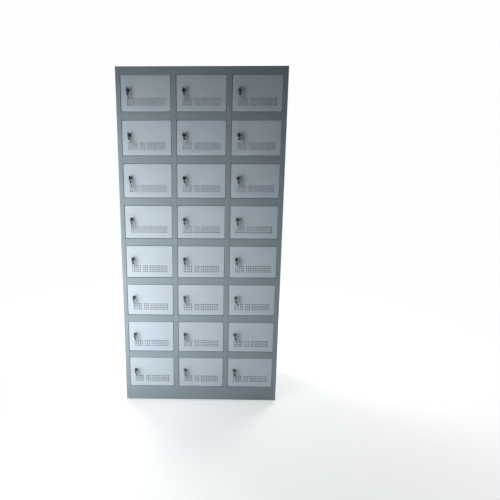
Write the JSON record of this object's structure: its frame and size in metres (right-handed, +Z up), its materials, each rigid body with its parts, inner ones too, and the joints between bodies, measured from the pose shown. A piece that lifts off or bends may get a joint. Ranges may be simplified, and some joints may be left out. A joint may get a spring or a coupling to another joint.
{
  "type": "phone charging kiosk",
  "caption": "Free-standing steel locker for charging phones, with rows of small vented doors on pivot pins, a cam lock in each door and a wiring space behind.",
  "frame": {"origin": "on the floor, at the centre of the overall box of the cabinet, keys included", "axes": "+Z up, +Y from the doors towards the back panel, +X to the right as seen by the user in front"},
  "size_m": [0.9, 0.4256, 1.9],
  "materials": {
    "frame_paint": "satin grey powder coat with fine orange peel",
    "door_paint": "satin off-white powder coat with fine orange peel",
    "inner_paint": "satin light grey powder coat",
    "lock_metal": "dark nickel plate with fine scratches",
    "key_metal": "nickel-plated brass, lightly worn",
    "zinc_plate": "bright zinc plate",
    "black_plastic": "fine moulded texture",
    "socket_plastic": "moulded, slightly glossy",
    "rubber": "matt moulded rubber"
  },
  "bodies": {
    "cabinet": {"face_frame": "frame_paint", "side_panel_left": "frame_paint", "side_panel_right": "frame_paint", "top_panel": "frame_paint", "base_tray": "inner_paint", "back_panel": "frame_paint", "mains_inlet": "black_plastic", "partition_left": "inner_paint", "partition_right": "inner_paint", "shelf_bank_left": "inner_paint", "shelf_bank_middle": "inner_paint", "shelf_bank_right": "inner_paint"},
    "door_r1_c1": {"door_r1_c1": "door_paint"},
    "lock_r1_c1": {"lock_r1_c1": "lock_metal"},
    "door_r1_c2": {"door_r1_c2": "door_paint"},
    "lock_r1_c2": {"lock_r1_c2": "lock_metal"},
    "door_r1_c3": {"door_r1_c3": "door_paint"},
    "lock_r1_c3": {"lock_r1_c3": "lock_metal"},
    "door_r2_c1": {"door_r2_c1": "door_paint"},
    "lock_r2_c1": {"lock_r2_c1": "lock_metal"},
    "door_r2_c2": {"door_r2_c2": "door_paint"},
    "lock_r2_c2": {"lock_r2_c2": "lock_metal"},
    "door_r2_c3": {"door_r2_c3": "door_paint"},
    "lock_r2_c3": {"lock_r2_c3": "lock_metal"},
    "door_r3_c1": {"door_r3_c1": "door_paint"},
    "lock_r3_c1": {"lock_r3_c1": "lock_metal"},
    "door_r3_c2": {"door_r3_c2": "door_paint"},
    "lock_r3_c2": {"lock_r3_c2": "lock_metal"},
    "door_r3_c3": {"door_r3_c3": "door_paint"},
    "lock_r3_c3": {"lock_r3_c3": "lock_metal"},
    "door_r4_c1": {"door_r4_c1": "door_paint"},
    "lock_r4_c1": {"lock_r4_c1": "lock_metal"},
    "door_r4_c2": {"door_r4_c2": "door_paint"},
    "lock_r4_c2": {"lock_r4_c2": "lock_metal"},
    "door_r4_c3": {"door_r4_c3": "door_paint"},
    "lock_r4_c3": {"lock_r4_c3": "lock_metal"},
    "door_r5_c1": {"door_r5_c1": "door_paint"},
    "lock_r5_c1": {"lock_r5_c1": "lock_metal"},
    "door_r5_c2": {"door_r5_c2": "door_paint"},
    "lock_r5_c2": {"lock_r5_c2": "lock_metal"},
    "door_r5_c3": {"door_r5_c3": "door_paint"},
    "lock_r5_c3": {"lock_r5_c3": "lock_metal"},
    "door_r6_c1": {"door_r6_c1": "door_paint"},
    "lock_r6_c1": {"lock_r6_c1": "lock_metal"},
    "door_r6_c2": {"door_r6_c2": "door_paint"},
    "lock_r6_c2": {"lock_r6_c2": "lock_metal"},
    "door_r6_c3": {"door_r6_c3": "door_paint"},
    "lock_r6_c3": {"lock_r6_c3": "lock_metal"},
    "door_r7_c1": {"door_r7_c1": "door_paint"},
    "lock_r7_c1": {"lock_r7_c1": "lock_metal"},
    "door_r7_c2": {"door_r7_c2": "door_paint"},
    "lock_r7_c2": {"lock_r7_c2": "lock_metal"},
    "door_r7_c3": {"door_r7_c3": "door_paint"},
    "lock_r7_c3": {"lock_r7_c3": "lock_metal"},
    "door_r8_c1": {"door_r8_c1": "door_paint"},
    "lock_r8_c1": {"lock_r8_c1": "lock_metal"},
    "door_r8_c2": {"door_r8_c2": "door_paint"},
    "lock_r8_c2": {"lock_r8_c2": "lock_metal"},
    "door_r8_c3": {"door_r8_c3": "door_paint"},
    "lock_r8_c3": {"lock_r8_c3": "lock_metal"}
  },
  "joints": [
    {"name": "door_r1_c1_hinge", "type": "hinge", "parent": "cabinet", "child": "door_r1_c1", "pos_m": [-0.166, -0.18275, 1.677], "axis": [0, 0, 1], "range_deg": [0, 105]},
    {"name": "lock_r1_c1_turn", "type": "hinge", "parent": "door_r1_c1", "child": "lock_r1_c1", "pos_m": [-0.387, -0.18675, 1.782], "axis": [0, 1, 0], "range_deg": [0, 90]},
    {"name": "door_r1_c2_hinge", "type": "hinge", "parent": "cabinet", "child": "door_r1_c2", "pos_m": [0.1265, -0.18275, 1.677], "axis": [0, 0, 1], "range_deg": [0, 105]},
    {"name": "lock_r1_c2_turn", "type": "hinge", "parent": "door_r1_c2", "child": "lock_r1_c2", "pos_m": [-0.0945, -0.18675, 1.782], "axis": [0, 1, 0], "range_deg": [0, 90]},
    {"name": "door_r1_c3_hinge", "type": "hinge", "parent": "cabinet", "child": "door_r1_c3", "pos_m": [0.419, -0.18275, 1.677], "axis": [0, 0, 1], "range_deg": [0, 105]},
    {"name": "lock_r1_c3_turn", "type": "hinge", "parent": "door_r1_c3", "child": "lock_r1_c3", "pos_m": [0.198, -0.18675, 1.782], "axis": [0, 1, 0], "range_deg": [0, 90]},
    {"name": "door_r2_c1_hinge", "type": "hinge", "parent": "cabinet", "child": "door_r2_c1", "pos_m": [-0.166, -0.18275, 1.4515], "axis": [0, 0, 1], "range_deg": [0, 105]},
    {"name": "lock_r2_c1_turn", "type": "hinge", "parent": "door_r2_c1", "child": "lock_r2_c1", "pos_m": [-0.387, -0.18675, 1.5565], "axis": [0, 1, 0], "range_deg": [0, 90]},
    {"name": "door_r2_c2_hinge", "type": "hinge", "parent": "cabinet", "child": "door_r2_c2", "pos_m": [0.1265, -0.18275, 1.4515], "axis": [0, 0, 1], "range_deg": [0, 105]},
    {"name": "lock_r2_c2_turn", "type": "hinge", "parent": "door_r2_c2", "child": "lock_r2_c2", "pos_m": [-0.0945, -0.18675, 1.5565], "axis": [0, 1, 0], "range_deg": [0, 90]},
    {"name": "door_r2_c3_hinge", "type": "hinge", "parent": "cabinet", "child": "door_r2_c3", "pos_m": [0.419, -0.18275, 1.4515], "axis": [0, 0, 1], "range_deg": [0, 105]},
    {"name": "lock_r2_c3_turn", "type": "hinge", "parent": "door_r2_c3", "child": "lock_r2_c3", "pos_m": [0.198, -0.18675, 1.5565], "axis": [0, 1, 0], "range_deg": [0, 90]},
    {"name": "door_r3_c1_hinge", "type": "hinge", "parent": "cabinet", "child": "door_r3_c1", "pos_m": [-0.166, -0.18275, 1.226], "axis": [0, 0, 1], "range_deg": [0, 105]},
    {"name": "lock_r3_c1_turn", "type": "hinge", "parent": "door_r3_c1", "child": "lock_r3_c1", "pos_m": [-0.387, -0.18675, 1.331], "axis": [0, 1, 0], "range_deg": [0, 90]},
    {"name": "door_r3_c2_hinge", "type": "hinge", "parent": "cabinet", "child": "door_r3_c2", "pos_m": [0.1265, -0.18275, 1.226], "axis": [0, 0, 1], "range_deg": [0, 105]},
    {"name": "lock_r3_c2_turn", "type": "hinge", "parent": "door_r3_c2", "child": "lock_r3_c2", "pos_m": [-0.0945, -0.18675, 1.331], "axis": [0, 1, 0], "range_deg": [0, 90]},
    {"name": "door_r3_c3_hinge", "type": "hinge", "parent": "cabinet", "child": "door_r3_c3", "pos_m": [0.419, -0.18275, 1.226], "axis": [0, 0, 1], "range_deg": [0, 105]},
    {"name": "lock_r3_c3_turn", "type": "hinge", "parent": "door_r3_c3", "child": "lock_r3_c3", "pos_m": [0.198, -0.18675, 1.331], "axis": [0, 1, 0], "range_deg": [0, 90]},
    {"name": "door_r4_c1_hinge", "type": "hinge", "parent": "cabinet", "child": "door_r4_c1", "pos_m": [-0.166, -0.18275, 1.0005], "axis": [0, 0, 1], "range_deg": [0, 105]},
    {"name": "lock_r4_c1_turn", "type": "hinge", "parent": "door_r4_c1", "child": "lock_r4_c1", "pos_m": [-0.387, -0.18675, 1.1055], "axis": [0, 1, 0], "range_deg": [0, 90]},
    {"name": "door_r4_c2_hinge", "type": "hinge", "parent": "cabinet", "child": "door_r4_c2", "pos_m": [0.1265, -0.18275, 1.0005], "axis": [0, 0, 1], "range_deg": [0, 105]},
    {"name": "lock_r4_c2_turn", "type": "hinge", "parent": "door_r4_c2", "child": "lock_r4_c2", "pos_m": [-0.0945, -0.18675, 1.1055], "axis": [0, 1, 0], "range_deg": [0, 90]},
    {"name": "door_r4_c3_hinge", "type": "hinge", "parent": "cabinet", "child": "door_r4_c3", "pos_m": [0.419, -0.18275, 1.0005], "axis": [0, 0, 1], "range_deg": [0, 105]},
    {"name": "lock_r4_c3_turn", "type": "hinge", "parent": "door_r4_c3", "child": "lock_r4_c3", "pos_m": [0.198, -0.18675, 1.1055], "axis": [0, 1, 0], "range_deg": [0, 90]},
    {"name": "door_r5_c1_hinge", "type": "hinge", "parent": "cabinet", "child": "door_r5_c1", "pos_m": [-0.166, -0.18275, 0.775], "axis": [0, 0, 1], "range_deg": [0, 105]},
    {"name": "lock_r5_c1_turn", "type": "hinge", "parent": "door_r5_c1", "child": "lock_r5_c1", "pos_m": [-0.387, -0.18675, 0.88], "axis": [0, 1, 0], "range_deg": [0, 90]},
    {"name": "door_r5_c2_hinge", "type": "hinge", "parent": "cabinet", "child": "door_r5_c2", "pos_m": [0.1265, -0.18275, 0.775], "axis": [0, 0, 1], "range_deg": [0, 105]},
    {"name": "lock_r5_c2_turn", "type": "hinge", "parent": "door_r5_c2", "child": "lock_r5_c2", "pos_m": [-0.0945, -0.18675, 0.88], "axis": [0, 1, 0], "range_deg": [0, 90]},
    {"name": "door_r5_c3_hinge", "type": "hinge", "parent": "cabinet", "child": "door_r5_c3", "pos_m": [0.419, -0.18275, 0.775], "axis": [0, 0, 1], "range_deg": [0, 105]},
    {"name": "lock_r5_c3_turn", "type": "hinge", "parent": "door_r5_c3", "child": "lock_r5_c3", "pos_m": [0.198, -0.18675, 0.88], "axis": [0, 1, 0], "range_deg": [0, 90]},
    {"name": "door_r6_c1_hinge", "type": "hinge", "parent": "cabinet", "child": "door_r6_c1", "pos_m": [-0.166, -0.18275, 0.5495], "axis": [0, 0, 1], "range_deg": [0, 105]},
    {"name": "lock_r6_c1_turn", "type": "hinge", "parent": "door_r6_c1", "child": "lock_r6_c1", "pos_m": [-0.387, -0.18675, 0.6545], "axis": [0, 1, 0], "range_deg": [0, 90]},
    {"name": "door_r6_c2_hinge", "type": "hinge", "parent": "cabinet", "child": "door_r6_c2", "pos_m": [0.1265, -0.18275, 0.5495], "axis": [0, 0, 1], "range_deg": [0, 105]},
    {"name": "lock_r6_c2_turn", "type": "hinge", "parent": "door_r6_c2", "child": "lock_r6_c2", "pos_m": [-0.0945, -0.18675, 0.6545], "axis": [0, 1, 0], "range_deg": [0, 90]},
    {"name": "door_r6_c3_hinge", "type": "hinge", "parent": "cabinet", "child": "door_r6_c3", "pos_m": [0.419, -0.18275, 0.5495], "axis": [0, 0, 1], "range_deg": [0, 105]},
    {"name": "lock_r6_c3_turn", "type": "hinge", "parent": "door_r6_c3", "child": "lock_r6_c3", "pos_m": [0.198, -0.18675, 0.6545], "axis": [0, 1, 0], "range_deg": [0, 90]},
    {"name": "door_r7_c1_hinge", "type": "hinge", "parent": "cabinet", "child": "door_r7_c1", "pos_m": [-0.166, -0.18275, 0.324], "axis": [0, 0, 1], "range_deg": [0, 105]},
    {"name": "lock_r7_c1_turn", "type": "hinge", "parent": "door_r7_c1", "child": "lock_r7_c1", "pos_m": [-0.387, -0.18675, 0.429], "axis": [0, 1, 0], "range_deg": [0, 90]},
    {"name": "door_r7_c2_hinge", "type": "hinge", "parent": "cabinet", "child": "door_r7_c2", "pos_m": [0.1265, -0.18275, 0.324], "axis": [0, 0, 1], "range_deg": [0, 105]},
    {"name": "lock_r7_c2_turn", "type": "hinge", "parent": "door_r7_c2", "child": "lock_r7_c2", "pos_m": [-0.0945, -0.18675, 0.429], "axis": [0, 1, 0], "range_deg": [0, 90]},
    {"name": "door_r7_c3_hinge", "type": "hinge", "parent": "cabinet", "child": "door_r7_c3", "pos_m": [0.419, -0.18275, 0.324], "axis": [0, 0, 1], "range_deg": [0, 105]},
    {"name": "lock_r7_c3_turn", "type": "hinge", "parent": "door_r7_c3", "child": "lock_r7_c3", "pos_m": [0.198, -0.18675, 0.429], "axis": [0, 1, 0], "range_deg": [0, 90]},
    {"name": "door_r8_c1_hinge", "type": "hinge", "parent": "cabinet", "child": "door_r8_c1", "pos_m": [-0.166, -0.18275, 0.0985], "axis": [0, 0, 1], "range_deg": [0, 105]},
    {"name": "lock_r8_c1_turn", "type": "hinge", "parent": "door_r8_c1", "child": "lock_r8_c1", "pos_m": [-0.387, -0.18675, 0.2035], "axis": [0, 1, 0], "range_deg": [0, 90]},
    {"name": "door_r8_c2_hinge", "type": "hinge", "parent": "cabinet", "child": "door_r8_c2", "pos_m": [0.1265, -0.18275, 0.0985], "axis": [0, 0, 1], "range_deg": [0, 105]},
    {"name": "lock_r8_c2_turn", "type": "hinge", "parent": "door_r8_c2", "child": "lock_r8_c2", "pos_m": [-0.0945, -0.18675, 0.2035], "axis": [0, 1, 0], "range_deg": [0, 90]},
    {"name": "door_r8_c3_hinge", "type": "hinge", "parent": "cabinet", "child": "door_r8_c3", "pos_m": [0.419, -0.18275, 0.0985], "axis": [0, 0, 1], "range_deg": [0, 105]},
    {"name": "lock_r8_c3_turn", "type": "hinge", "parent": "door_r8_c3", "child": "lock_r8_c3", "pos_m": [0.198, -0.18675, 0.2035], "axis": [0, 1, 0], "range_deg": [0, 90]}
  ]
}
